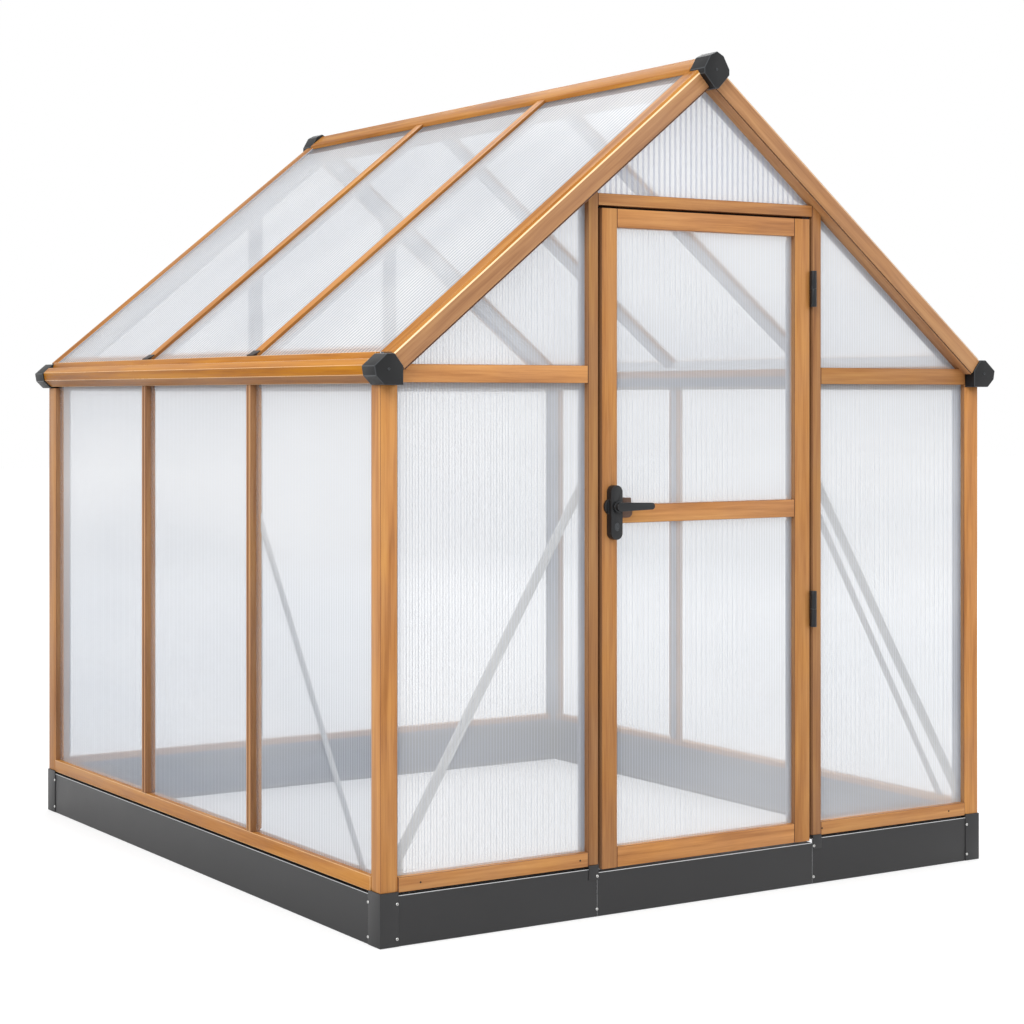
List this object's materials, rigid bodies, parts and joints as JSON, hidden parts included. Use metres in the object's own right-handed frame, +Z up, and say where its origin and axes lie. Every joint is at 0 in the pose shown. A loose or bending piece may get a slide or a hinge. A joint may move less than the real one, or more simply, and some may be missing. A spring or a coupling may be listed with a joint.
{
  "type": "greenhouse",
  "caption": "Walk-in greenhouse with a ridged roof, wood-toned bars, translucent twin-wall sheets, dark end caps, a dark steel base frame and a hinged door with a lever handle",
  "frame": {"origin": "on the ground, in the middle of the base frame's outline", "axes": "+X to the right along the door wall as seen from outside, +Y from the door wall to the back, +Z up"},
  "size_m": [1.88, 1.996, 2.0329],
  "materials": {
    "wood_bars": "light brown wood finish with a faint grain, satin",
    "sheet": "clear twin-wall polycarbonate with fine ribs, translucent",
    "base_steel": "dark grey powder coat, satin",
    "cap_plastic": "moulded charcoal plastic, slightly textured",
    "brace_steel": "thin galvanised strap, dull silver",
    "lock_block_plastic": "moulded red-brown plastic, satin",
    "black_metal": "black powder coat, satin"
  },
  "bodies": {
    "house": {"base_left": "base_steel", "base_right": "base_steel", "base_back": "base_steel", "base_front": "base_steel", "corner_brackets": "base_steel", "jamb_clips": "base_steel", "corner_posts_front": "wood_bars", "corner_posts_back": "wood_bars", "bottom_rail_left": "wood_bars", "bottom_rail_right": "wood_bars", "bottom_rail_back": "wood_bars", "bottom_rails_front": "wood_bars", "mullions_left": "wood_bars", "mullions_right": "wood_bars", "mullions_back": "wood_bars", "eave_beam_left": "wood_bars", "eave_beam_right": "wood_bars", "eave_rails_front": "wood_bars", "eave_rail_back": "wood_bars", "door_jambs": "wood_bars", "door_header": "wood_bars", "gable_rafters_front": "wood_bars", "gable_rafters_back": "wood_bars", "ridge_beam": "wood_bars", "roof_bars": "wood_bars", "roof_bar_clips": "cap_plastic", "eave_caps": "cap_plastic", "ridge_caps": "cap_plastic", "glazing_left": "sheet", "glazing_right": "sheet", "glazing_back": "sheet", "glazing_front": "sheet", "glazing_gable_front": "sheet", "glazing_roof_left": "sheet", "glazing_roof_right": "sheet", "braces_front": "brace_steel", "braces_side": "brace_steel", "hinge_jamb_halves": "black_metal"},
    "door": {"door_stiles": "wood_bars", "door_rails": "wood_bars", "door_sheets": "sheet", "hinge_door_halves": "black_metal", "lock_plates": "black_metal", "lock_block": "lock_block_plastic"},
    "handle": {"lever_handles": "black_metal"}
  },
  "joints": [
    {"name": "door_hinge", "type": "hinge", "parent": "house", "child": "door", "pos_m": [0.3335, -0.963, 0], "axis": [0, 0, 1], "range_deg": [0, 110]},
    {"name": "lever_turn", "type": "hinge", "parent": "door", "child": "handle", "pos_m": [-0.278, -0.973, 0.952], "axis": [0, 1, 0], "range_deg": [0, 40], "stiffness_Nm_per_rad": 1, "springref_deg": -9.74}
  ]
}
